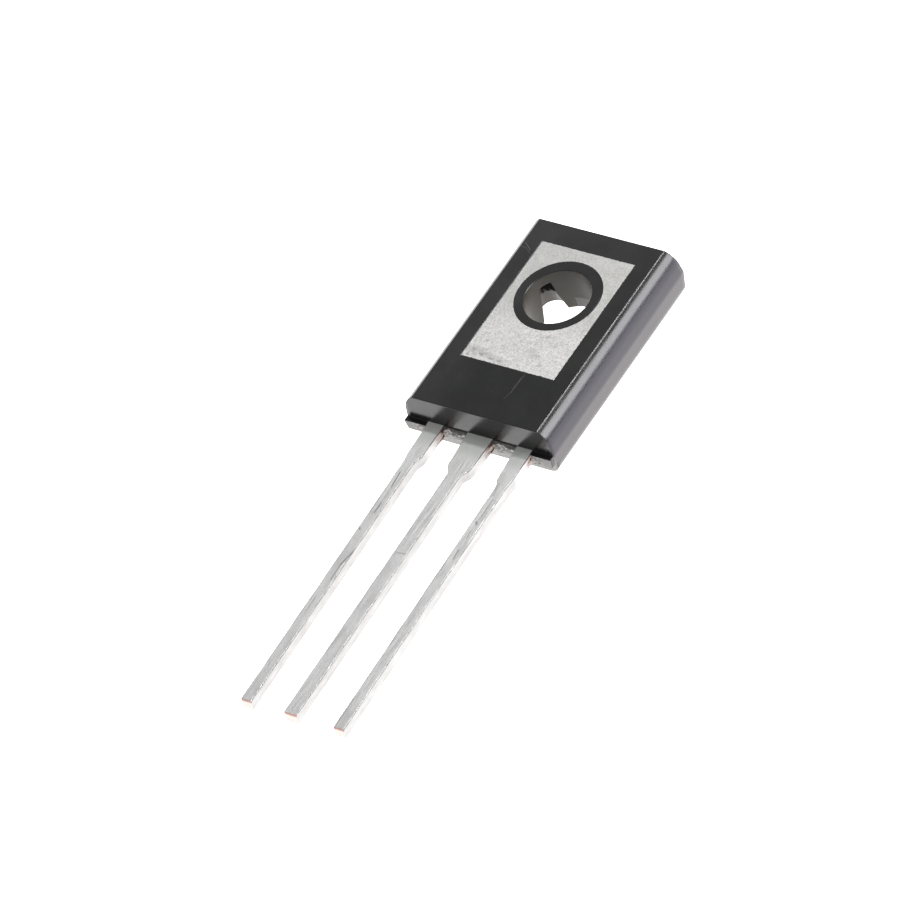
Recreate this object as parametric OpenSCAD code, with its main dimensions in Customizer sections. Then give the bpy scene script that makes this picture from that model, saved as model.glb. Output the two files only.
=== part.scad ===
// Three-lead power transistor in a flat moulded package with a bolt hole and an exposed thermal pad.
// The package lies on its front face, with the thermal pad up.
// Origin: on the axis of the bolt hole, at the front face. +X runs across the leads,
// +Y runs away from the leads and +Z comes out of the thermal pad.

/* [Body] */
// Width of the body at the parting line
body_w = 7.5; // [7.2:0.05:7.8]
// Length of the body at the parting line
body_l = 10.92; // [10.5:0.02:11.3]
// Thickness of the body, from the front face to the thermal pad
body_t = 2.54; // [2.4:0.02:2.7]
// Width of the flat back face, between its two sharp long edges
back_w = 6.4; // [6.2:0.05:6.5]
// Radius of the long shoulders beside the back face
shoulder_r = 0.9; // [0.7:0.05:1.1]
// Radius of the long edges of the front face
front_r = 0.6; // [0.3:0.05:0.7]
// Draft of the back half of the mould, in degrees
back_draft = 5; // [2:0.5:7]
// Draft of the front half of the mould, in degrees
front_draft = 7; // [2:0.5:9]

/* [Bolt hole] */
// Diameter of the bolt hole
bore_d = 3.04; // [2.9:0.02:3.3]
// Distance from the axis of the bolt hole to the far end of the body
bore_to_end = 3.85; // [3.6:0.05:4]
// Diameter of the ring of resin that shows round the bolt hole
ring_d = 3.96; // [3.8:0.02:4.1]
// Distance by which the ring lies off the bore's axis, away from the leads, as moulded
ring_shift = 0.06; // [0:0.01:0.08]
// Distance from the axis of the bolt hole to each support pin's cavity
cavity_off = 1.65; // [1.6:0.01:1.75]
// Angle of the cavities above the X axis, in degrees
cavity_angle = 30.5; // [10:0.5:40]
// Diameter of a cavity at the front face
cavity_d = 1.44; // [1.2:0.02:1.5]
// Diameter of a cavity at its knee, where its taper changes
cavity_knee_d = 0.9; // [0.8:0.02:1]
// Height of the knee above the front face
cavity_knee_z = 1.1; // [0.8:0.02:1.3]
// Diameter of a cavity at its bottom, on the thermal tab
cavity_end_d = 0.64; // [0.4:0.02:0.7]
// Diameter of the shallow recess in the front face, round the bolt hole
recess_d = 5.2; // [5:0.05:5.4]
// Depth of the recess
recess_depth = 0.26; // [0.1:0.02:0.4]

/* [Thermal tab] */
// Width of the exposed thermal pad
pad_w = 4.75; // [4.4:0.05:5]
// Distance from the pad's near edge to the lead end of the body
pad_setback = 2.88; // [2.7:0.02:3]
// Distance from the pad's far edge to the far end of the body
pad_end_gap = 1.22; // [1:0.02:1.3]
// Width of the sunk rim that the resin grips, round the pad
lock_w = 0.3; // [0.15:0.05:0.4]
// Depth of the sunk rim below the pad
lock_depth = 0.22; // [0.15:0.01:0.3]

/* [Leads] */
// Thickness of the lead frame
lead_t = 0.5; // [0.4:0.01:0.6]
// Height of the leads' upper faces above the front face
lead_z = 1.32; // [1.2:0.02:1.45]
// Distance between the centres of neighbouring leads
lead_pitch = 2.35; // [2.2:0.01:2.4]
// Length of the leads outside the body
lead_l = 15.7; // [10:0.1:17]
// Width of the centre lead
centre_w = 0.68; // [0.6:0.01:0.8]
// Width of each outer lead
outer_w = 0.52; // [0.45:0.01:0.6]
// Width of the centre lead's shoulder at the body
centre_shoulder_w = 1.32; // [1:0.02:1.5]
// Width by which an outer lead's shoulder stands out on its inner side
outer_shoulder_in = 0.22; // [0.1:0.01:0.3]
// Width by which an outer lead's shoulder stands out on its outer side
outer_shoulder_out = 0.07; // [0.02:0.01:0.12]
// Length of the shoulders, from the body to the start of their taper
shoulder_l = 1.85; // [1:0.05:2.2]
// Length of the taper at the end of each shoulder
shoulder_taper = 0.32; // [0.2:0.01:0.6]
// Share of a shoulder's width that is left where its taper starts
shoulder_keep = 0.7; // [0.5:0.05:1]

/* [Resin between the leads] */
// Length of the strips of resin that stand out beside the leads
web_l = 0.27; // [0.1:0.01:0.3]
// Length of the two middle strips at their lower side, where they stand out the most
web_low_l = 0.21; // [0.15:0.01:0.3]
// Length of the two middle strips at their upper side
web_high_l = 0.05; // [0.02:0.01:0.1]
// Height of the upright part of the middle strips' ends, below the slanted break
web_step = 0.14; // [0.05:0.01:0.3]
// Depth of the breaks in the two middle strips
web_break = 0.09; // [0.02:0.01:0.12]

/* [Lead frame inside the body] */
// Length of the inner leads, from the lead end of the body
post_l = 2.1; // [1.6:0.05:2.4]
// Width of each bonding post
post_w = 1.35; // [1:0.05:1.5]
// Length of each bonding post
post_pad_l = 1.05; // [0.8:0.05:1.3]
// Distance from the lead end of the body to the step up to the thermal tab
step_start = 0.75; // [0.5:0.05:1]
// Length of the step up to the thermal tab
step_l = 1.35; // [1:0.05:1.5]

/* [Die and bond wires] */
// Side of the square silicon die
die_w = 1.6; // [1.2:0.05:1.7]
// Thickness of the silicon die
die_t = 0.25; // [0.18:0.01:0.35]
// Thickness of the solder under the die
solder_t = 0.05; // [0.03:0.01:0.08]
// Width by which the solder stands out round the die
solder_margin = 0.06; // [0.04:0.01:0.1]
// Diameter of the bond wires
wire_d = 0.2; // [0.12:0.01:0.25]
// Distance between the two bonds on the die
bond_gap = 0.9; // [0.6:0.05:1]
// Height of the wires' long runs above the front face
wire_z = 0.42; // [0.35:0.01:0.46]
// Radius of the wires' bends
wire_bend_r = 0.25; // [0.2:0.01:0.28]

/* [Hidden] */
$fn = 64;
wire_fn = 20;

resin_colour = "#2b2c2e";
tin_colour = "#c9c9c6";
silicon_colour = "#5d6470";
solder_colour = "#9da0a3";
wire_colour = "#d9dadc";

eps = 0.01;

// The two ends of the body at the parting line
far_y = bore_to_end;
near_y = bore_to_end - body_l;

// The lead frame's two levels: the leads, and the tab whose upper face is the thermal pad
lead_low_z = lead_z - lead_t;
tab_low_z = body_t - lead_t;
pad_near_y = near_y + pad_setback;
pad_l = body_l - pad_setback - pad_end_gap;
tab_hole_d = (bore_d + ring_d) / 2;

// Long shoulder: an arc that leaves the drafted side at a tangent and ends at the back face's edge
back_rise = body_t - lead_z;
shoulder_in = (body_w - back_w) / 2;
edge_up = shoulder_in * sin(back_draft) + back_rise * cos(back_draft);
edge_in = shoulder_in * cos(back_draft) - back_rise * sin(back_draft);
shoulder_at = edge_up - sqrt(2 * shoulder_r * edge_in - edge_in * edge_in);
shoulder_x = body_w / 2 - shoulder_at * sin(back_draft) - shoulder_r * cos(back_draft);
shoulder_z = lead_z + shoulder_at * cos(back_draft) - shoulder_r * sin(back_draft);

// Long edge of the front face: an arc that touches the drafted side and the face
front_x = body_w / 2 - (lead_z - front_r) * tan(front_draft) - front_r / cos(front_draft);

// Bonding posts, and the bonds on the die and on the posts
post_inner_x = lead_pitch + outer_w / 2 + outer_shoulder_out - post_w;
post_x = post_inner_x + post_w / 2;
post_end_y = near_y + post_l;
post_y = post_end_y - post_pad_l / 2;
die_low_z = tab_low_z - solder_t - die_t;

// The die sits midway between the tab's hole and the pad's near edge
die_y = (pad_near_y + ring_shift - tab_hole_d / 2) / 2;

// Section of the body across the leads, in X and Z
module body_section() {
    intersection() {
        translate([-body_w / 2, 0]) square([body_w, body_t]);
        union() {
            for (side = [-1, 1]) {
                translate([side * shoulder_x, shoulder_z]) circle(shoulder_r);
                translate([side * front_x, front_r]) circle(front_r);
                polygon([
                    [0, 0],
                    [side * front_x, 0],
                    [side * (front_x + front_r * cos(front_draft)), front_r * (1 - sin(front_draft))],
                    [side * body_w / 2, lead_z],
                    [side * (shoulder_x + shoulder_r * cos(back_draft)), shoulder_z + shoulder_r * sin(back_draft)],
                    [side * back_w / 2, body_t],
                    [0, body_t]
                ]);
            }
        }
    }
}

// A bar with the body's section, from one Y to another
module body_bar(from_y, to_y) {
    translate([0, to_y, 0]) rotate([90, 0, 0]) linear_extrude(to_y - from_y) body_section();
}

// The body's outline seen from the side, with its drafted ends
module body_side() {
    back_in = back_rise * tan(back_draft);
    front_in = lead_z * tan(front_draft);
    polygon([
        [near_y + front_in, 0], [near_y, lead_z], [near_y + back_in, body_t],
        [far_y - back_in, body_t], [far_y, lead_z], [far_y - front_in, 0]
    ]);
}

// Strips of resin that filled the frame as far as its tie bar, at the level of the leads.
// The outer two run out to the body's sides.
module outer_webs() {
    from_x = lead_pitch + outer_w / 2;
    for (side = [-1, 1]) {
        translate([0, 0, lead_low_z]) linear_extrude(lead_t) polygon([
            [side * from_x, near_y + body_l / 4], [side * from_x, near_y - web_l],
            [side * body_w, near_y - web_l], [side * body_w, near_y + body_l / 4]
        ]);
    }
}

// The middle two are broken off, with a slant and a ragged edge
module middle_webs() {
    low_y = near_y - web_low_l;
    gap_from = centre_shoulder_w / 2;
    gap_to = lead_pitch - outer_w / 2 - outer_shoulder_in;
    gap = gap_to - gap_from;
    intersection() {
        translate([-body_w / 2, 0, 0]) rotate([90, 0, 90]) linear_extrude(body_w) polygon([
            [near_y + body_l / 4, lead_low_z], [low_y, lead_low_z], [low_y, lead_low_z + web_step],
            [near_y - web_high_l, lead_z], [near_y + body_l / 4, lead_z]
        ]);
        for (side = [-1, 1]) {
            translate([0, 0, lead_low_z]) linear_extrude(lead_t) polygon([
                [side * gap_from, near_y + body_l / 4],
                [side * gap_from, low_y + web_break],
                [side * (gap_from + gap * 0.12), low_y + web_break * 0.4],
                [side * (gap_from + gap * 0.27), low_y],
                [side * (gap_from + gap * 0.43), low_y + web_break * 0.7],
                [side * (gap_from + gap * 0.58), low_y + web_break * 0.2],
                [side * (gap_from + gap * 0.78), low_y + web_break],
                [side * gap_to, low_y + web_break * 0.3],
                [side * gap_to, near_y + body_l / 4]
            ]);
        }
    }
}

module resin_webs() {
    intersection() {
        body_bar(near_y - web_l, near_y + body_l / 4);
        union() {
            outer_webs();
            middle_webs();
        }
    }
}

// Bore for the bolt, with the recess round it in the front face and the cavities that
// the mould's support pins leave beside it
module bore_and_cavities() {
    translate([0, 0, -eps]) cylinder(d = bore_d, h = body_t + 2 * eps);
    translate([0, 0, -eps]) cylinder(d = recess_d, h = recess_depth + eps);
    for (angle = [cavity_angle, 180 - cavity_angle]) {
        rotate([0, 0, angle]) translate([cavity_off, 0, 0]) {
            cylinder(d1 = cavity_d, d2 = cavity_knee_d, h = cavity_knee_z);
            translate([0, 0, cavity_knee_z])
                cylinder(d1 = cavity_knee_d, d2 = cavity_end_d, h = tab_low_z - cavity_knee_z);
        }
    }
}

// Outline of one lead in plan, from its tip to the given depth inside the body.
// The shoulder stands out by grow_left and grow_right, and head holds any points
// that widen the lead's left side inside the body.
module lead_outline(centre_x, width, grow_left, grow_right, depth, head = []) {
    left = centre_x - width / 2;
    right = centre_x + width / 2;
    knee_y = near_y - shoulder_l;
    narrow_y = knee_y - shoulder_taper;
    end_y = near_y + depth;
    start = [
        [left, near_y - lead_l], [left, narrow_y],
        [left - grow_left * shoulder_keep, knee_y], [left - grow_left, near_y]
    ];
    inside = len(head) > 0 ? head : [[left - grow_left, end_y]];
    finish = [
        [right + grow_right, end_y], [right + grow_right, near_y],
        [right + grow_right * shoulder_keep, knee_y], [right, narrow_y], [right, near_y - lead_l]
    ];
    polygon(concat(start, inside, finish));
}

// An outer lead, with its bonding post: side is -1 or 1
module outer_lead(side) {
    neck_x = lead_pitch - outer_w / 2 - outer_shoulder_in;
    post_start_y = post_end_y - post_pad_l;
    post = [
        [neck_x, post_start_y], [post_inner_x, post_start_y], [post_inner_x, post_end_y]
    ];
    mirror([side < 0 ? 1 : 0, 0, 0]) translate([0, 0, lead_low_z]) linear_extrude(lead_t)
        lead_outline(lead_pitch, outer_w, outer_shoulder_in, outer_shoulder_out, post_l, post);
}

// Thermal tab with its pad, the sunk rim that the resin grips, and its stepped hole
module thermal_tab() {
    difference() {
        union() {
            translate([-pad_w / 2, pad_near_y, tab_low_z]) cube([pad_w, pad_l, lead_t]);
            translate([-pad_w / 2 - lock_w, pad_near_y - lock_w, tab_low_z])
                cube([pad_w + 2 * lock_w, pad_l + 2 * lock_w, lead_t - lock_depth]);
        }
        translate([0, ring_shift, tab_low_z - eps]) cylinder(d = tab_hole_d, h = lead_t + 2 * eps);
        translate([0, ring_shift, body_t - lock_depth]) cylinder(d = ring_d, h = lead_t);
    }
}

// The step that joins the centre lead to the tab, a strip as wide as the lead's shoulder
module frame_step() {
    tab_edge_y = pad_near_y - lock_w;
    low_y = near_y + step_start;
    high_y = low_y + step_l;
    rise = tab_low_z - lock_depth - lead_low_z;
    tab_band = lead_t - lock_depth;
    translate([-centre_shoulder_w / 2, 0, 0]) rotate([90, 0, 90]) linear_extrude(centre_shoulder_w) polygon([
        [near_y, lead_low_z], [low_y, lead_low_z], [high_y, tab_low_z], [tab_edge_y + lock_w, tab_low_z],
        [tab_edge_y + lock_w, tab_low_z + tab_band], [high_y - lead_t / 2, tab_low_z + tab_band],
        [low_y - lead_t / 2, lead_z], [near_y, lead_z]
    ]);
}

// Quarter bend of a bond wire, from straight up to along +X
module wire_bend() {
    translate([wire_bend_r, 0, wire_bend_r]) rotate([90, 0, 0]) rotate([0, 0, 180])
        rotate_extrude(angle = 90, $fn = wire_fn * 2) translate([wire_bend_r, 0]) circle(d = wire_d, $fn = wire_fn);
}

// One bond wire, from the die down and across to a bonding post: side is -1 or 1
module bond_wire(side) {
    die_x = side * bond_gap / 2;
    run_x = side * post_x - die_x;
    run_y = post_y - die_y;
    run = sqrt(run_x * run_x + run_y * run_y);
    bend_z = wire_z + wire_bend_r;
    translate([die_x, die_y, 0]) rotate([0, 0, atan2(run_y, run_x)]) {
        translate([0, 0, bend_z]) cylinder(d = wire_d, h = die_low_z - bend_z, $fn = wire_fn);
        translate([0, 0, wire_z]) wire_bend();
        translate([wire_bend_r, 0, wire_z]) rotate([0, 90, 0])
            cylinder(d = wire_d, h = run - 2 * wire_bend_r, $fn = wire_fn);
        translate([run, 0, wire_z]) mirror([1, 0, 0]) wire_bend();
        translate([run, 0, bend_z]) cylinder(d = wire_d, h = lead_low_z - bend_z, $fn = wire_fn);
    }
}

module moulded_body() {
    color(resin_colour) difference() {
        union() {
            intersection() {
                body_bar(near_y, far_y);
                translate([-body_w, 0, 0]) rotate([90, 0, 90]) linear_extrude(2 * body_w) body_side();
            }
            resin_webs();
        }
        bore_and_cavities();
        collector_frame();
        base_lead();
        emitter_lead();
        silicon_die();
        die_attach_solder();
        base_bond_wire();
        emitter_bond_wire();
    }
}

module collector_frame() {
    grow = (centre_shoulder_w - centre_w) / 2;
    color(tin_colour) union() {
        thermal_tab();
        frame_step();
        translate([0, 0, lead_low_z]) linear_extrude(lead_t)
            lead_outline(0, centre_w, grow, grow, step_start / 2);
    }
}

module base_lead() {
    color(tin_colour) outer_lead(1);
}

module emitter_lead() {
    color(tin_colour) outer_lead(-1);
}

module silicon_die() {
    color(silicon_colour) translate([-die_w / 2, die_y - die_w / 2, die_low_z]) cube([die_w, die_w, die_t]);
}

module die_attach_solder() {
    side = die_w + 2 * solder_margin;
    color(solder_colour) translate([-side / 2, die_y - side / 2, tab_low_z - solder_t])
        cube([side, side, solder_t]);
}

module base_bond_wire() {
    color(wire_colour) bond_wire(1);
}

module emitter_bond_wire() {
    color(wire_colour) bond_wire(-1);
}

moulded_body();
collector_frame();
base_lead();
emitter_lead();
silicon_die();
die_attach_solder();
base_bond_wire();
emitter_bond_wire();
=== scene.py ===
"""Looks of a small power transistor: black epoxy, a thermal pad and three tinned copper leads.

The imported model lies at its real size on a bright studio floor, thermal pad up. Lengths in this
file are in millimetres unless a name says otherwise, and MM turns them into Blender's metres.
"""

import math

import bmesh
import bpy
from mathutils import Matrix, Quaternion, Vector, noise

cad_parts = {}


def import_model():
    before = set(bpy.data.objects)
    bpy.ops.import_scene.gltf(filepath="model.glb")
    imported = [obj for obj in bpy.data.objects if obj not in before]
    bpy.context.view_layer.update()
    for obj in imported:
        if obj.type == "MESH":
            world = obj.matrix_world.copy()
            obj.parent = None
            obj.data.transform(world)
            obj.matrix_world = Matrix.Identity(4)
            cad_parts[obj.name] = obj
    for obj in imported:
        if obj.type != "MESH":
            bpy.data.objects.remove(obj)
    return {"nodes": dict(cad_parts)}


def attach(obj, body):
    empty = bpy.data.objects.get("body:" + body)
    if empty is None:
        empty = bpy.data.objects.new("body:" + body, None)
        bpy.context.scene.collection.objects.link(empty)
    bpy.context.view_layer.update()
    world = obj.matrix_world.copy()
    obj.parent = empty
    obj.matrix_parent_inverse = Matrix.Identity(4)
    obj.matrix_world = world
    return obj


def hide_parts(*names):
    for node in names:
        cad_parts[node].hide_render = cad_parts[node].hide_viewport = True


MM = 0.001

# Places on the part, from its construction
LEAD_END_Y = -7.07
LEAD_TIP_Y = -22.77
BACK_FACE_Z = 2.54
LEAD_TOP_Z = 1.32
LEAD_LOW_Z = 0.82
PARTING_HALF_WIDTH = 3.75
RECESS_R = 2.6
# The support pins' cavities start this far from the bolt hole's axis
CAVITY_START_R = 1.525

# Each lead outside the body: its node, centre, width, and the shoulder's growth to -X and +X
LEADS = {
    "emitter": ("emitter_lead", -2.35, 0.52, 0.07, 0.22),
    "collector": ("collector_frame", 0.0, 0.645, 0.337, 0.337),
    "base": ("base_lead", 2.35, 0.52, 0.22, 0.07),
}
SHOULDER_KNEE_Y = -8.92
SHOULDER_END_Y = -9.24
SHOULDER_KEEP = 0.7
LEAD_EDGE_R = 0.02
LEAD_EDGE_STEPS = 4
LEAD_STATIONS = 220
# A lead's own solid is cut this far inside the resin, and the worked lead starts a little deeper
LEAD_CUT = 0.1
LEAD_ROOT = 0.12
# How far a lead's sides and its level stray, and the slant of its cut tip
EDGE_STRAY = 0.016
LEVEL_STRAY = 0.006
TIP_SLANT = 0.12

# Handling has bent the free leads a little to +X and down: at the body, and per length from it
BEND_AT_BODY = (0.02, 0, -0.012)
BEND_PER_LENGTH = (0.0152, 0.0, -0.0115)
# The bend at the body is reached over this length
BEND_SETTLES = 1.2
# Added to the centre lead's bend to +X (negative, so it bends less): at the body, and per length
CENTRE_LEAD_EXTRA = (-0.018, -0.0048)

# Camera
CAMERA_PLACE = (166.35, -157.05, 222.11)
CAMERA_AIM = (-0.872, -8.162, 1.3)
CAMERA_ROLL = -22.515
CAMERA_LENS = 300

# The lamps point at this place
LAMP_AIM = (0.0, -8.0, 1.3)
# Half the floor's size, in metres
FLOOR_HALF_SIZE = 4.0
# Brightness of what the glossy faces mirror
FLOOR_GLOW = 2.1
SKY_GLOW = 0.36


# ---------------------------------------------------------------- node helpers


class Nodes:
    """A node tree, with short ways to add nodes. Lengths in it are in millimetres."""

    def __init__(self, tree):
        self.tree = tree

    def add(self, kind, inputs=(), **settings):
        """Adds a node. inputs maps a socket's name or index to a value or to another node's output."""
        node = self.tree.nodes.new("ShaderNode" + kind)
        for name, value in settings.items():
            setattr(node, name, value)
        for key, value in dict(inputs).items():
            if isinstance(value, bpy.types.NodeSocket):
                self.tree.links.new(value, node.inputs[key])
            else:
                node.inputs[key].default_value = value
        return node

    def place(self):
        """Object coordinates in millimetres."""
        coordinates = self.add("TexCoord").outputs["Object"]
        return self.add("VectorMath", {0: coordinates, "Scale": 1 / MM}, operation="SCALE").outputs[0]

    def stretched(self, vector, factors):
        return self.add("VectorMath", {0: vector, 1: factors}, operation="MULTIPLY").outputs[0]

    def axes(self, vector):
        split = self.add("SeparateXYZ", {0: vector})
        return split.outputs[0], split.outputs[1], split.outputs[2]

    def noise(self, vector, scale, detail=3.0, roughness=0.5, distortion=0.0):
        inputs = {"Vector": vector, "Scale": scale, "Detail": detail, "Roughness": roughness,
                  "Distortion": distortion}
        return self.add("TexNoise", inputs).outputs[0]

    def cells(self, vector, scale):
        """Distance to the nearest of many scattered points."""
        return self.add("TexVoronoi", {"Vector": vector, "Scale": scale}).outputs[0]

    def math(self, operation, a, b=0.0, clamp=False):
        return self.add("Math", {0: a, 1: b}, operation=operation, use_clamp=clamp).outputs[0]

    def product(self, *factors):
        result = factors[0]
        for factor in factors[1:]:
            result = self.math("MULTIPLY", result, factor)
        return result

    def step(self, value, start, end, low=0.0, high=1.0):
        """Rises smoothly from low to high as value goes from start to end; start may be above end."""
        if start > end:
            start, end, low, high = end, start, high, low
        inputs = {"Value": value, "From Min": start, "From Max": end, "To Min": low, "To Max": high}
        return self.add("MapRange", inputs, interpolation_type="SMOOTHSTEP").outputs[0]

    def band(self, value, low, high, blur):
        """1 between low and high, falling to 0 over blur outside them."""
        return self.product(self.step(value, low - blur, low), self.step(value, high + blur, high))

    def mix(self, factor, a, b):
        """A colour from a (factor 0) to b (factor 1)."""
        return self.add("Mix", {0: factor, 6: a, 7: b}, data_type="RGBA").outputs[2]

    def bump(self, height, strength, distance, normal=None):
        inputs = {"Height": height, "Strength": strength, "Distance": distance * MM}
        if normal is not None:
            inputs["Normal"] = normal
        return self.add("Bump", inputs).outputs[0]

    def rounded_edges(self, radius):
        """Normals as if the edges were rounded; the radius is a node's output, so it may vary."""
        return self.add("Bevel", {"Radius": self.product(radius, MM)}, samples=6).outputs[0]

    def line(self, vector, start, end, width):
        """1 on the straight line from start to end, two (x, y) points on a level face."""
        ax, ay = start
        length = math.hypot(end[0] - ax, end[1] - ay)
        ux, uy = (end[0] - ax) / length, (end[1] - ay) / length
        x, y, _ = self.axes(vector)
        dx, dy = self.math("SUBTRACT", x, ax), self.math("SUBTRACT", y, ay)
        along = self.math("ADD", self.product(dx, ux), self.product(dy, uy))
        across = self.math("SUBTRACT", self.product(dx, uy), self.product(dy, ux))
        near = self.step(self.math("ABSOLUTE", across), width, 0.2 * width)
        return self.product(near, self.band(along, 0.0, length, 0.1))

    def any_of(self, *masks):
        result = masks[0]
        for mask in masks[1:]:
            result = self.math("MAXIMUM", result, mask)
        return result


def grey(value, warmth=0.0):
    """A colour with alpha; a little warmth moves it from blue to red."""
    return (value * (1 + warmth), value, value * (1 - warmth), 1.0)


def new_material(name):
    """A material's nodes and its shader."""
    material = bpy.data.materials.new(name)
    material.use_nodes = True
    nodes = Nodes(material.node_tree)
    shader = material.node_tree.nodes["Principled BSDF"]
    return material, nodes, shader


def feed(nodes, shader, **outputs):
    """Links node outputs to the shader's sockets; base_color stands for Base Color."""
    names = {"base_color": "Base Color", "roughness": "Roughness", "metallic": "Metallic",
             "normal": "Normal", "specular": "Specular IOR Level"}
    for key, output in outputs.items():
        nodes.tree.links.new(output, shader.inputs[names[key]])


def set_values(shader, **values):
    for name, value in values.items():
        shader.inputs[name.replace("_", " ")].default_value = value


# ---------------------------------------------------------------- materials

# Hair scratches on the back face: start, end, half width and strength
BACK_SCRATCHES = [
    ((0.964, -4.327), (0.918, -5.335), 0.018, 0.65),
    ((0.90, -4.55), (0.874, -5.15), 0.014, 0.45),
    ((0.905, -5.35), (0.819, -5.694), 0.016, 0.4),
    ((-3.138, 2.09), (-2.892, 2.062), 0.02, 0.5),
    ((-3.033, 2.291), (-2.671, 2.033), 0.024, 0.6),
    ((-2.794, 1.996), (-2.61, 1.883), 0.018, 0.5),
]
# The left support pin's cavity: its direction from the bolt hole's axis, in degrees
PIN_CAVITY_ANGLE = 149.5


def epoxy():
    """Moulded black resin: polished back face, satin sides, broken edge between the leads."""
    material, nodes, shader = new_material("epoxy_moulded")
    place = nodes.place()
    x, y, z = nodes.axes(place)
    from_middle = nodes.math("ABSOLUTE", x)
    normal_x, normal_y, normal_z = nodes.axes(nodes.add("NewGeometry").outputs["True Normal"])

    on_back = nodes.step(z, BACK_FACE_Z - 0.02, BACK_FACE_Z - 0.005)
    # The webs between the leads are broken resin, but their upper faces are smooth
    moulded = nodes.product(nodes.step(normal_z, 0.75, 0.9),
                            nodes.step(z, LEAD_TOP_Z - 0.03, LEAD_TOP_Z - 0.01))
    out = nodes.step(y, LEAD_END_Y - 0.01, LEAD_END_Y - 0.03)
    broken = nodes.product(out, nodes.math("SUBTRACT", 1.0, moulded))
    low_end = nodes.product(nodes.step(normal_y, -0.9, -0.97),
                            nodes.step(z, LEAD_LOW_Z + 0.02, LEAD_LOW_Z - 0.02))

    filler = nodes.noise(place, 22.0, 2.0)
    cloud = nodes.noise(place, 0.9, 4.0, 0.6)
    handled = nodes.step(nodes.noise(place, 0.45, 3.0, 0.6), 0.35, 0.65)
    scratches = nodes.any_of(*(nodes.product(nodes.line(place, start, end, width), strength)
                               for start, end, width, strength in BACK_SCRATCHES))
    scratches = nodes.product(scratches, on_back, nodes.step(nodes.noise(place, 7.0), 0.3, 0.5, 0.45, 1.0))

    resin = nodes.mix(nodes.step(filler, 0.3, 0.75), grey(0.007, -0.03), grey(0.014, -0.02))
    # Handling has dulled the back face towards its far end and its left side
    film = nodes.math("ADD", nodes.step(y, -4.5, -1.5, 0.0, 0.32), nodes.step(y, 1.5, 3.2, 0.0, 0.3))
    film = nodes.math("ADD", film, nodes.step(x, -1.0, -2.6, 0.0, 0.5))
    film = nodes.product(film, on_back, nodes.step(handled, 0.0, 1.0, 0.7, 1.0))
    resin = nodes.mix(nodes.math("MINIMUM", film, 1.0), resin, grey(0.026, 0.0))

    # Painted reflection tint: the long sides get a faint violet cast, redder below the parting line and bluer
    # above it, standing in for the tones they mirror
    flank = nodes.step(from_middle, PARTING_HALF_WIDTH - 0.25, PARTING_HALF_WIDTH - 0.15)
    flank = nodes.product(flank, nodes.step(y, LEAD_END_Y - 0.05, LEAD_END_Y + 0.05))
    flank_reflection_tint = nodes.mix(nodes.step(z, 1.15, 1.35), (0.015, 0.009, 0.0135, 1.0), (0.011, 0.009, 0.020, 1.0))
    resin = nodes.mix(nodes.product(flank, 0.8), resin, flank_reflection_tint)

    # Inside the bore the resin is brownish
    bore_r = nodes.math("SQRT", nodes.math("ADD", nodes.product(x, x), nodes.product(y, y)))
    in_bore = nodes.product(nodes.step(bore_r, RECESS_R, RECESS_R - 0.1),
                            nodes.step(z, BACK_FACE_Z - 0.01, BACK_FACE_Z - 0.04))
    resin = nodes.mix(in_bore, resin, (0.036, 0.029, 0.021, 1.0))

    # Painted shade: a dark, dull, ragged patch at the inner end of the left pin's cavity, standing in for the
    # shade deep in the recess
    turn = math.radians(PIN_CAVITY_ANGLE)
    along = nodes.math("ADD", nodes.product(x, math.cos(turn)), nodes.product(y, math.sin(turn)))
    across = nodes.math("SUBTRACT", nodes.product(y, math.cos(turn)), nodes.product(x, math.sin(turn)))
    in_cavity = nodes.step(bore_r, CAVITY_START_R, CAVITY_START_R + 0.02)
    rag = nodes.noise(place, 5.0, 3.0)
    high = nodes.math("ADD", z, nodes.step(rag, 0.3, 0.7, -0.12, 0.12))
    side = nodes.math("ADD", across, nodes.step(rag, 0.3, 0.7, -0.05, 0.05))
    pocket_shade = nodes.product(nodes.step(along, 1.3, 1.4), nodes.step(high, 1.12, 1.27),
                           nodes.step(side, 0.17, 0.09), in_cavity, in_bore)

    # Painted shade: the right pin's cavity is kept dark, as if it lay in the bore's shade
    shaded = nodes.product(nodes.step(x, 0.7, 0.9), in_cavity, in_bore)
    resin = nodes.mix(shaded, resin, (0.013, 0.010, 0.008, 1.0))

    flecks = nodes.step(nodes.cells(place, 9.0), 0.30, 0.12)
    chips = nodes.noise(place, 8.0, 5.0, 0.75)
    rubble = nodes.mix(nodes.step(chips, 0.38, 0.62), grey(0.17, 0.03), grey(0.52, 0.03))
    rubble = nodes.mix(flecks, rubble, grey(0.85, 0.02))
    # Painted highlight and shade: a bright line along the torn ridge at the top of the broken webs, and a
    # painted shadow in the gap above it
    between_leads = nodes.step(from_middle, 2.3, 2.2)
    wander = nodes.noise(nodes.stretched(place, (1.5, 0.0, 0.0)), 1.0, 2.0, 0.55)
    above = nodes.math("SUBTRACT", z, nodes.math("ADD", nodes.product(wander, 0.5), 0.87))
    ridge_highlight = nodes.product(nodes.step(nodes.math("ABSOLUTE", above), 0.045, 0.015), nodes.step(rag, 0.4, 0.55))
    rubble = nodes.mix(nodes.product(nodes.step(above, 0.03, 0.08), between_leads, 0.8), rubble, grey(0.03))
    rubble = nodes.mix(nodes.product(ridge_highlight, between_leads), rubble, grey(0.95))
    # The break fades out towards the body's corners
    corner = nodes.step(from_middle, 2.95, 3.45)
    rubble = nodes.mix(corner, rubble, grey(0.19, 0.02))
    turned = nodes.product(corner, nodes.step(nodes.math("ABSOLUTE", normal_x), 0.1, 0.4))
    rubble = nodes.mix(turned, rubble, grey(0.045, 0.02))
    colour = nodes.mix(broken, resin, rubble)
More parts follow.
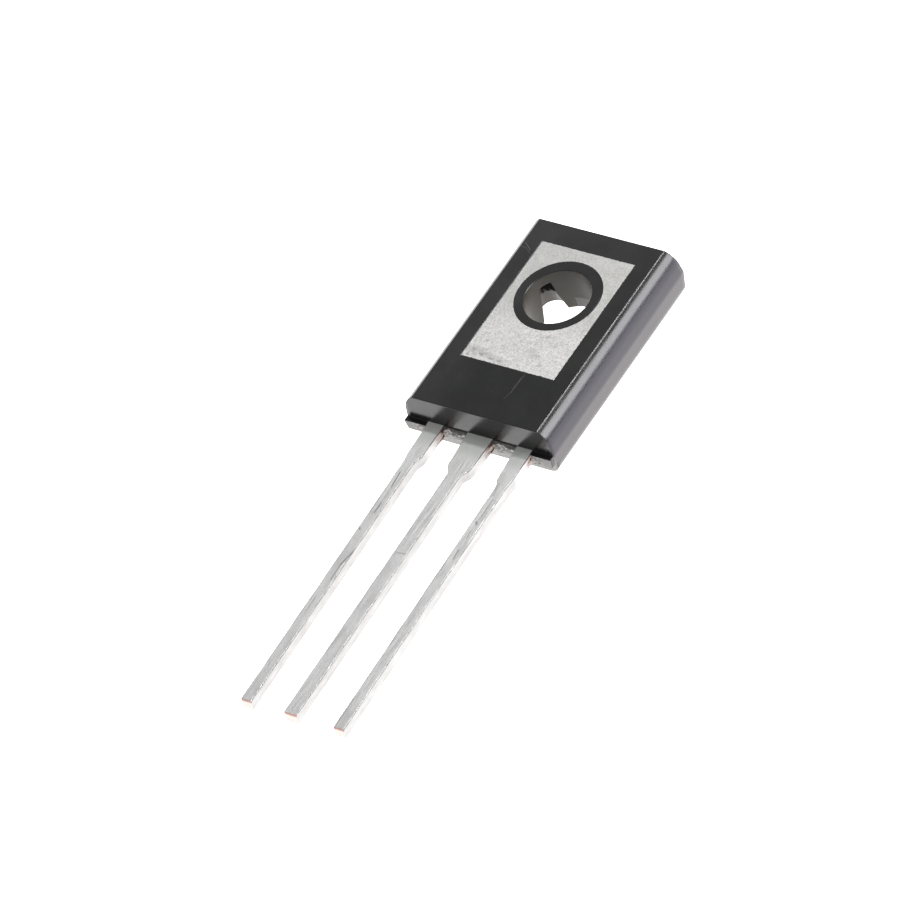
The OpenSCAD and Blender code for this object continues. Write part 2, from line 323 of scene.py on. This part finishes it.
    # Painted reflection: the lower end face below the leads is lightened, standing in for the bright floor it
    # mirrors
    low_end_reflection = nodes.product(low_end, nodes.step(chips, 0.3, 0.7, 0.7, 1.0))
    colour = nodes.mix(low_end_reflection, colour, grey(0.125, 0.03))
    colour = nodes.mix(nodes.product(scratches, 0.45), colour, grey(0.28, 0.03))
    colour = nodes.mix(pocket_shade, colour, grey(0.010, 0.1))

    gloss = nodes.step(cloud, 0.3, 0.7, 0.17, 0.24)
    gloss = nodes.math("ADD", gloss, nodes.step(filler, 0.45, 0.8, 0.0, 0.05))
    roughness = nodes.math("ADD", gloss, nodes.product(nodes.any_of(broken, pocket_shade), 0.4), clamp=True)
    roughness = nodes.math("ADD", roughness, nodes.product(in_bore, 0.2), clamp=True)

    # The mould's halves blend softly along the long sides; the other edges are crisper
    edges = nodes.rounded_edges(nodes.step(flank, 0.0, 1.0, 0.07, 0.3))
    skin = nodes.bump(filler, 0.12, 0.01, edges)
    torn = nodes.product(broken, nodes.noise(place, 7.0, 5.0, 0.7), nodes.step(corner, 0.0, 1.0, 1.0, 0.15))
    rubble_relief = nodes.bump(torn, 1.0, 0.25, skin)
    specular = nodes.product(nodes.step(pocket_shade, 0.0, 1.0, 0.5, 0.03),
                             nodes.step(in_bore, 0.0, 1.0, 1.0, 0.62),
                             nodes.step(shaded, 0.0, 1.0, 1.0, 0.4))
    feed(nodes, shader, base_color=colour, roughness=roughness, normal=rubble_relief, specular=specular)
    set_values(shader, IOR=1.52)
    return material


# Smudges and scuffs on the pad: centre, radii and depth of the mark
PAD_SMUDGES = [
    ((-1.9, -3.75), (0.6, 0.25), 0.34),
    ((-0.9, -3.90), (0.6, 0.16), 0.25),
    ((0.6, -3.15), (0.35, 0.25), 0.22),
    ((1.2, -2.45), (0.3, 0.2), 0.22),
    ((-1.99, -3.73), (0.11, 0.09), 0.55),
    ((-1.58, -3.89), (0.13, 0.08), 0.6),
    ((-1.0, -3.99), (0.16, 0.07), 0.5),
    ((-0.55, -3.97), (0.10, 0.07), 0.5),
    ((-2.13, -3.99), (0.09, 0.10), 0.6),
    ((-1.69, -3.11), (0.09, 0.07), 0.45),
    ((-0.20, -2.70), (0.10, 0.06), 0.5),
    ((0.81, -2.16), (0.14, 0.08), 0.5),
    ((1.29, -3.66), (0.16, 0.10), 0.4),
]
# Marks that tools and handling left on the leads' upper faces: start, end, half width and depth
LEAD_MARKS = [
    ((-2.35, -9.93), (-2.285, -10.71), 0.05, 0.8),
    ((-2.244, -11.66), (-2.235, -12.15), 0.05, 0.8),
    ((-2.42, -13.10), (-2.36, -13.18), 0.06, 0.7),
    ((-1.95, -14.25), (-2.119, -15.084), 0.05, 0.9),
    ((-2.119, -15.084), (-2.089, -15.934), 0.05, 0.6),
    ((-0.06, -13.78), (0.36, -13.72), 0.07, 0.4),
    ((2.44, -10.0), (2.47, -11.05), 0.05, 0.45),
    ((2.22, -9.15), (2.33, -9.75), 0.06, 0.35),
    ((2.40, -11.25), (2.46, -11.35), 0.07, 0.7),
    ((2.42, -11.80), (2.46, -12.10), 0.05, 0.45),
    ((2.455, -12.82), (2.491, -13.285), 0.05, 0.8),
]
PAD_NEAR_Y = LEAD_END_Y + 2.88
PAD_FAR_Y = 2.63
PAD_HALF_WIDTH = 2.375


def tinned_frame():
    """Tin-plated copper: streaked leads, bare copper where they were cut, and the scuffed pad."""
    material, nodes, shader = new_material("tinned_lead_frame")
    place = nodes.place()
    x, y, z = nodes.axes(place)
    normal = nodes.axes(nodes.add("NewGeometry").outputs["True Normal"])
    side_facing = nodes.math("ABSOLUTE", normal[0])
    sideways = nodes.step(side_facing, 0.6, 0.8)
    at_cut_tip = nodes.step(nodes.math("MULTIPLY", normal[1], -1.0), 0.6, 0.8)
    on_pad = nodes.step(z, BACK_FACE_Z - 0.1, BACK_FACE_Z - 0.05)
    # Height above the front face as it was before the leads were bent
    free = nodes.math("MAXIMUM", nodes.math("SUBTRACT", LEAD_END_Y, y), 0.0)
    drop = nodes.product(free, -BEND_PER_LENGTH[2])
    level = nodes.math("ADD", z, drop)
    by_body = nodes.step(y, LEAD_END_Y - 1.7, LEAD_END_Y - 0.2)

    # Tin: long drawn streaks on the leads, finer grain on the pad
    streaks = nodes.noise(nodes.stretched(place, (9.0, 0.7, 9.0)), 1.0, 5.0, 0.65, 0.4)
    blotches = nodes.noise(nodes.stretched(place, (1.6, 0.8, 1.6)), 1.0, 3.0, 0.6)
    grain = nodes.noise(place, 14.0, 4.0, 0.7)
    dark_streak = nodes.product(nodes.step(streaks, 0.54, 0.74), nodes.step(by_body, 0.0, 1.0, 1.0, 0.3))
    lead_tin = nodes.mix(dark_streak, grey(0.79, 0.004), grey(0.55, 0.01))
    lead_tin = nodes.mix(nodes.step(blotches, 0.45, 0.75, 0.0, 0.5), lead_tin, grey(0.68, 0.0))
    lead_tin = nodes.mix(nodes.step(grain, 0.45, 0.68, 0.0, 0.6), lead_tin, grey(0.55, 0.01))
    # Painted light and shade next to the body: the tin is set darker from about 1.8 mm to 0.75 mm out and
    # lighter within 0.4 mm, reshaping the shade the body casts on the leads
    near_body = nodes.step(y, LEAD_END_Y - 1.8, LEAD_END_Y - 0.9)
    near_body_light_and_shade = nodes.mix(nodes.step(y, LEAD_END_Y - 0.75, LEAD_END_Y - 0.4),
                     (0.48, 0.49, 0.475, 1.0), (0.78, 0.80, 0.76, 1.0))
    lead_tin = nodes.mix(nodes.product(near_body, 0.95), lead_tin, near_body_light_and_shade)
    for start, end, width, depth in LEAD_MARKS:
        mark = nodes.product(nodes.line(place, start, end, width), nodes.step(streaks, 0.35, 0.5, 0.5, 1.0))
        lead_tin = nodes.mix(nodes.product(mark, depth), lead_tin, grey(0.20, 0.02))
    # The sheared side faces are duller than the rolled upper ones
    shear = nodes.noise(nodes.stretched(place, (1.0, 1.1, 5.0)), 1.0, 4.0, 0.6)
    side_tin = nodes.mix(nodes.step(shear, 0.3, 0.7), grey(0.31, 0.012), grey(0.39, 0.008))
    # Painted light: next to the body the side faces are lightened, against the shade that the body and webs
    # cast there
    side_tin = nodes.mix(near_body, side_tin, grey(0.60, 0.01))
    lead_tin = nodes.mix(sideways, lead_tin, side_tin)

    scuffs = nodes.noise(nodes.stretched(place, (2.8, 4.0, 1.0)), 1.0, 7.0, 0.8)
    pad_tin = nodes.mix(nodes.step(grain, 0.38, 0.66), grey(0.89, 0.012), grey(0.58, 0.016))
    pad_tin = nodes.mix(nodes.step(scuffs, 0.54, 0.70, 0.0, 0.28), pad_tin, grey(0.58, 0.0))
    for (cx, cy), (rx, ry), depth in PAD_SMUDGES:
        dx = nodes.product(nodes.math("SUBTRACT", x, cx), 1 / rx)
        dy = nodes.product(nodes.math("SUBTRACT", y, cy), 1 / ry)
        far = nodes.math("ADD", nodes.product(dx, dx), nodes.product(dy, dy))
        torn = nodes.math("ADD", far, nodes.step(scuffs, 0.3, 0.7, -0.8, 0.8))
        pad_tin = nodes.mix(nodes.step(torn, 1.1, 0.4, 0.0, depth), pad_tin, grey(0.38, 0.0))
    pad_tin = nodes.mix(nodes.step(y, -2.2, -0.6, 0.0, 0.45), pad_tin, (0.50, 0.505, 0.475, 1.0))
    # Thin resin flash has crept over the pad's border here and there
    inward = nodes.math("SUBTRACT", PAD_HALF_WIDTH, nodes.math("ABSOLUTE", x))
    inward = nodes.math("MINIMUM", inward, nodes.math("SUBTRACT", PAD_FAR_Y, y))
    from_near = nodes.math("SUBTRACT", y, PAD_NEAR_Y)
    creep = nodes.step(nodes.noise(place, 9.0, 4.0, 0.7), 0.45, 0.75, 0.0, 0.045)
    flash = nodes.step(nodes.math("SUBTRACT", nodes.math("MINIMUM", inward, from_near), creep), 0.015, -0.015)
    flash = nodes.product(flash, on_pad)
    pad_tin = nodes.mix(flash, pad_tin, grey(0.05, 0.0))
    tin = nodes.mix(on_pad, lead_tin, pad_tin)

    # Copper: the sheared sides next to the body, and the cut tips
    ragged = nodes.noise(nodes.stretched(place, (3.0, 1.2, 4.0)), 1.0, 5.0, 0.7)
    reach = nodes.math("ADD", y, nodes.step(ragged, 0.25, 0.75, -0.35, 0.35))
    sheared = nodes.product(sideways, nodes.step(reach, LEAD_END_Y - 0.8, LEAD_END_Y - 0.25))
    deep = nodes.any_of(nodes.step(reach, LEAD_END_Y - 0.46, LEAD_END_Y - 0.2),
                        nodes.product(nodes.step(level, LEAD_TOP_Z - 0.14, LEAD_TOP_Z - 0.06), 0.7))
    pink = nodes.mix(nodes.step(ragged, 0.4, 0.7), (0.46, 0.36, 0.32, 1.0), (0.42, 0.26, 0.20, 1.0))
    copper = nodes.mix(deep, pink, (0.050, 0.017, 0.011, 1.0))
    colour = nodes.mix(sheared, tin, copper)
    # Along the upper edges the tin is dull, and next to the body the shear broke through it
    upper_edge = nodes.product(nodes.step(side_facing, 0.15, 0.3),
                               nodes.step(level, LEAD_TOP_Z - 0.06, LEAD_TOP_Z - 0.03))
    colour = nodes.mix(nodes.product(upper_edge, 0.95), colour, grey(0.15, 0.01))
    red_line = nodes.product(upper_edge, nodes.step(reach, LEAD_END_Y - 1.6, LEAD_END_Y - 1.0))
    colour = nodes.mix(nodes.product(red_line, 0.8), colour, (0.14, 0.075, 0.055, 1.0))
    cut_tip = nodes.product(at_cut_tip, nodes.step(y, LEAD_TIP_Y + 0.2, LEAD_TIP_Y + 0.1))
    burr = nodes.step(nodes.math("ADD", level, nodes.product(ragged, 0.1)),
                      LEAD_TOP_Z - 0.12, LEAD_TOP_Z - 0.05)
    tip = nodes.mix(burr, (0.43, 0.395, 0.375, 1.0), (0.26, 0.15, 0.12, 1.0))
    colour = nodes.mix(cut_tip, colour, tip)

    roughness = nodes.step(streaks, 0.35, 0.7, 0.30, 0.44)
    roughness = nodes.math("ADD", roughness, nodes.product(by_body, 0.48))
    pad_roughness = nodes.step(scuffs, 0.35, 0.7, 0.36, 0.44)
    roughness = nodes.math("ADD", nodes.product(roughness, nodes.math("SUBTRACT", 1.0, on_pad)),
                           nodes.product(pad_roughness, on_pad))
    # The pad's near edge stands a little proud and catches the light; its other edges are flush
    edge_r = nodes.step(nodes.product(on_pad, nodes.step(from_near, 0.05, 0.1)), 0.0, 1.0, 0.03, 0.002)
    edges = nodes.rounded_edges(edge_r)
    strength = nodes.step(by_body, 0.0, 1.0, 0.3, 0.12)
    relief = nodes.math("ADD", nodes.product(streaks, strength), nodes.product(grain, 0.1))
    relief = nodes.bump(relief, 1.0, 0.02, edges)
    oxidised = nodes.product(by_body, nodes.math("SUBTRACT", 1.0, on_pad), 0.8)
    metal = nodes.math("SUBTRACT", 1.0, nodes.math("MAXIMUM", flash, oxidised))
    roughness = nodes.math("ADD", roughness, nodes.product(upper_edge, 0.4), clamp=True)
    feed(nodes, shader, base_color=colour, roughness=roughness, normal=relief, metallic=metal)
    return material


def silicon():
    """Sawn silicon with a faint grain."""
    material, nodes, shader = new_material("silicon_sawn")
    place = nodes.place()
    grain = nodes.noise(nodes.stretched(place, (2.0, 14.0, 14.0)), 1.0, 4.0)
    feed(nodes, shader, base_color=nodes.mix(grain, grey(0.10, -0.08), grey(0.20, -0.05)),
         roughness=nodes.step(grain, 0.3, 0.7, 0.15, 0.35), normal=nodes.bump(grain, 0.2, 0.01))
    set_values(shader, Metallic=0.6)
    return material


def solder():
    """Dull solder with small pits."""
    material, nodes, shader = new_material("solder_dull")
    place = nodes.place()
    pits = nodes.cells(place, 6.0)
    cloud = nodes.noise(place, 3.0, 4.0)
    feed(nodes, shader, base_color=nodes.mix(cloud, grey(0.34, -0.02), grey(0.52, -0.01)),
         roughness=nodes.step(pits, 0.1, 0.6, 0.6, 0.35), normal=nodes.bump(pits, 0.4, 0.02))
    set_values(shader, Metallic=1.0)
    return material


def drawn_aluminium():
    """Drawn wire with fine lines along it."""
    material, nodes, shader = new_material("aluminium_drawn")
    place = nodes.place()
    lines = nodes.noise(nodes.stretched(place, (18.0, 1.0, 18.0)), 1.0, 3.0)
    feed(nodes, shader, base_color=nodes.mix(lines, grey(0.80, -0.01), grey(0.92, -0.01)),
         roughness=nodes.step(lines, 0.3, 0.7, 0.2, 0.4), normal=nodes.bump(lines, 0.2, 0.01))
    set_values(shader, Metallic=1.0)
    return material


# ---------------------------------------------------------------- leads


def between(value, pairs):
    """Linear interpolation in a list of (place, amount) pairs with rising places."""
    for (a, low), (b, high) in zip(pairs, pairs[1:]):
        if value <= b:
            return low + (high - low) * max(0.0, value - a) / (b - a)
    return pairs[-1][1]


def bend(y, extra):
    """How far handling has moved a lead at y, with an extra to +X: at the body, and per length."""
    free = max(0.0, LEAD_END_Y - y)
    settled = min(1.0, free / BEND_SETTLES)
    moved = Vector([settled * root + free * slope for root, slope in zip(BEND_AT_BODY, BEND_PER_LENGTH)])
    return moved + Vector((settled * extra[0] + free * extra[1], 0, 0))


def lead_section(left, right, low, top):
    """Points round a rectangle with rounded corners, in the XZ plane, each with its normal's turn."""
    points = []
    for x, z, turn in ((right, top, 0), (left, top, 90), (left, low, 180), (right, low, 270)):
        middle_x = x - LEAD_EDGE_R * (1 if turn in (0, 270) else -1)
        middle_z = z - LEAD_EDGE_R * (1 if turn in (0, 90) else -1)
        for i in range(LEAD_EDGE_STEPS + 1):
            a = math.radians(turn + 90 * i / LEAD_EDGE_STEPS)
            points.append((middle_x + LEAD_EDGE_R * math.cos(a), middle_z + LEAD_EDGE_R * math.sin(a), a))
    return points


def unevenness(seed, y, strength):
    """How far a sheared edge strays at y."""
    slow = noise.noise(Vector((seed * 7.3, y * 0.9, 0.0)))
    fast = noise.noise(Vector((seed * 3.1, y * 4.0, 5.0)))
    return strength * (slow + 0.45 * fast)


def add_free_lead(mesh, name, centre, width, grow_left, grow_right):
    """Adds the part of a lead outside the resin to a bmesh, and gives the normal of each new vertex."""
    inside = LEAD_END_Y + LEAD_ROOT
    shoulder = [(LEAD_TIP_Y, 0.0), (SHOULDER_END_Y - 0.06, 0.0), (SHOULDER_END_Y, 0.04),
                (SHOULDER_KNEE_Y, SHOULDER_KEEP), (LEAD_END_Y, 1.0), (inside, 1.0)]
    seed = sum(map(ord, name))
    extra = CENTRE_LEAD_EXTRA if name == "collector" else (0.0, 0.0)
    rows, normals = [], {}
    for i in range(LEAD_STATIONS + 1):
        y = LEAD_TIP_Y + (inside - LEAD_TIP_Y) * i / LEAD_STATIONS
        grown = between(y, shoulder)
        free = min(1.0, max(0.0, LEAD_END_Y - y) / 0.3)
        left = centre - width / 2 - grown * grow_left + free * unevenness(seed, y, EDGE_STRAY)
        right = centre + width / 2 + grown * grow_right + free * unevenness(seed + 9, y, EDGE_STRAY)
        sag = free * unevenness(seed + 21, y, LEVEL_STRAY)
        row = []
        for x, z, turn in lead_section(left, right, LEAD_LOW_Z + sag, LEAD_TOP_Z + sag):
            # The cutter leaves the tip's upper edge a little short
            slant = (z - LEAD_LOW_Z) * TIP_SLANT if i == 0 else 0.0
            vertex = mesh.verts.new((Vector((x, y + slant, z)) + bend(y, extra)) * MM)
            normals[vertex] = (math.cos(turn), 0.0, math.sin(turn))
            row.append(vertex)
        rows.append(row)
    for a, b in zip(rows, rows[1:]):
        for j in range(len(a)):
            k = (j + 1) % len(a)
            mesh.faces.new((a[k], a[j], b[j], b[k])).smooth = True
    mesh.faces.new(rows[0])
    mesh.faces.new(list(reversed(rows[-1])))
    return normals


def set_normals(data, by_vertex):
    """Gives smooth faces the normals by_vertex, a dict of vertex index to vector; flat ones keep theirs."""
    loops = [None] * len(data.loops)
    for face in data.polygons:
        for loop in face.loop_indices:
            known = by_vertex.get(data.loops[loop].vertex_index) if face.use_smooth else None
            loops[loop] = known or tuple(face.normal)
    data.normals_split_custom_set(loops)


def dressed_lead(frame, name, material):
    """Stands for a lead's node: its own solid inside the resin, and a worked lead outside."""
    node, centre, width, grow_left, grow_right = LEADS[name]
    mesh = bmesh.new()
    mesh.from_mesh(frame["nodes"][node].data)
    bmesh.ops.remove_doubles(mesh, verts=mesh.verts, dist=0.0005 * MM)
    bmesh.ops.bisect_plane(mesh, geom=mesh.verts[:] + mesh.edges[:] + mesh.faces[:],
                           plane_co=(0, (LEAD_END_Y + LEAD_CUT) * MM, 0),
                           plane_no=(0, -1, 0), clear_outer=True)
    for face in mesh.faces:
        face.smooth = False
    normals = add_free_lead(mesh, name, centre, width, grow_left, grow_right)
    mesh.verts.index_update()
    by_vertex = {vertex.index: normal for vertex, normal in normals.items()}
    data = bpy.data.meshes.new(name + "_lead_frame")
    mesh.to_mesh(data)
    mesh.free()
    set_normals(data, by_vertex)
    data.materials.append(material)
    piece = bpy.data.objects.new(name + "_lead_frame", data)
    bpy.context.scene.collection.objects.link(piece)
    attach(piece, "root")
    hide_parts(node)


# ---------------------------------------------------------------- studio


def floor():
    """A pale translucent table lit from below, as large as the other views need."""
    half = FLOOR_HALF_SIZE
    mesh = bpy.data.meshes.new("floor")
    z = -0.01 * MM
    mesh.from_pydata([(-half, -half, z), (half, -half, z), (half, half, z), (-half, half, z)], [],
                     [(0, 1, 2, 3)])
    table = bpy.data.objects.new("floor", mesh)
    bpy.context.scene.collection.objects.link(table)
    material, nodes, shader = new_material("floor_pale")
    paper = nodes.noise(nodes.place(), 0.4, 3.0)
    feed(nodes, shader, base_color=nodes.mix(paper, grey(0.33), grey(0.35)))
    set_values(shader, Roughness=0.8)
    shader.inputs["Emission Color"].default_value = (1.0, 0.99, 0.985, 1.0)
    shader.inputs["Emission Strength"].default_value = FLOOR_GLOW
    mesh.materials.append(material)


def sky():
    """An even, dim studio round the part."""
    world = bpy.data.worlds.new("studio")
    bpy.context.scene.world = world
    world.use_nodes = True
    nodes = Nodes(world.node_tree)
    background = world.node_tree.nodes["Background"]
    _, _, height = nodes.axes(nodes.add("TexCoord").outputs["Generated"])
    tone = nodes.step(height, -0.1, 0.9)
    colour = nodes.mix(tone, (0.98, 0.99, 1.0, 1.0), (1.0, 1.0, 1.0, 1.0))
    nodes.tree.links.new(colour, background.inputs["Color"])
    background.inputs["Strength"].default_value = SKY_GLOW


def softbox(name, azimuth, elevation, distance, width, height, glow, colour=(1.0, 1.0, 1.0)):
    """A square lamp of even radiance glow. Azimuth 0 is +X and 90 is +Y; distance is in metres."""
    a, e = math.radians(azimuth), math.radians(elevation)
    towards = Vector((math.cos(a) * math.cos(e), math.sin(a) * math.cos(e), math.sin(e)))
    lamp = bpy.data.lights.new(name, "AREA")
    lamp.shape = "RECTANGLE"
    lamp.size, lamp.size_y = width, height
    lamp.energy = glow * math.pi * width * height
    lamp.color = colour
    holder = bpy.data.objects.new(name, lamp)
    bpy.context.scene.collection.objects.link(holder)
    middle = Vector(LAMP_AIM) * MM
    holder.location = middle + towards * distance
    holder.rotation_mode = "QUATERNION"
    holder.rotation_quaternion = towards.to_track_quat("Z", "Y")
    holder.visible_camera = False


def camera():
    lens = bpy.data.cameras.new("camera")
    lens.lens, lens.sensor_width = CAMERA_LENS, 36.0
    lens.clip_start, lens.clip_end = 0.01, 10.0
    holder = bpy.data.objects.new("camera", lens)
    bpy.context.scene.collection.objects.link(holder)
    place, aim = Vector(CAMERA_PLACE) * MM, Vector(CAMERA_AIM) * MM
    level = (aim - place).to_track_quat("-Z", "Y")
    holder.rotation_mode = "QUATERNION"
    holder.rotation_quaternion = level @ Quaternion((0, 0, 1), math.radians(CAMERA_ROLL))
    holder.location = place
    bpy.context.scene.camera = holder


# ---------------------------------------------------------------- the scene


def main():
    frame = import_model()
    bpy.context.view_layer.update()

    camera()
    floor()
    sky()
    softbox("window", azimuth=31, elevation=27, distance=0.8, width=0.5, height=0.48, glow=9.5,
            colour=(0.975, 0.965, 1.0))
    softbox("ceiling", azimuth=88, elevation=61, distance=0.8, width=0.45, height=0.1, glow=26.0)

    finishes = {
        "moulded_body": epoxy(), "silicon_die": silicon(), "die_attach_solder": solder(),
        "base_bond_wire": drawn_aluminium(),
    }
    finishes["emitter_bond_wire"] = finishes["base_bond_wire"]
    for name, material in finishes.items():
        frame["nodes"][name].data.materials[0] = material
    tin = tinned_frame()
    for name in LEADS:
        dressed_lead(frame, name, tin)

    view = bpy.context.scene.view_settings
    view.view_transform = "Standard"
    bpy.context.scene.cycles.use_denoising = True

    bpy.context.view_layer.update()


main()
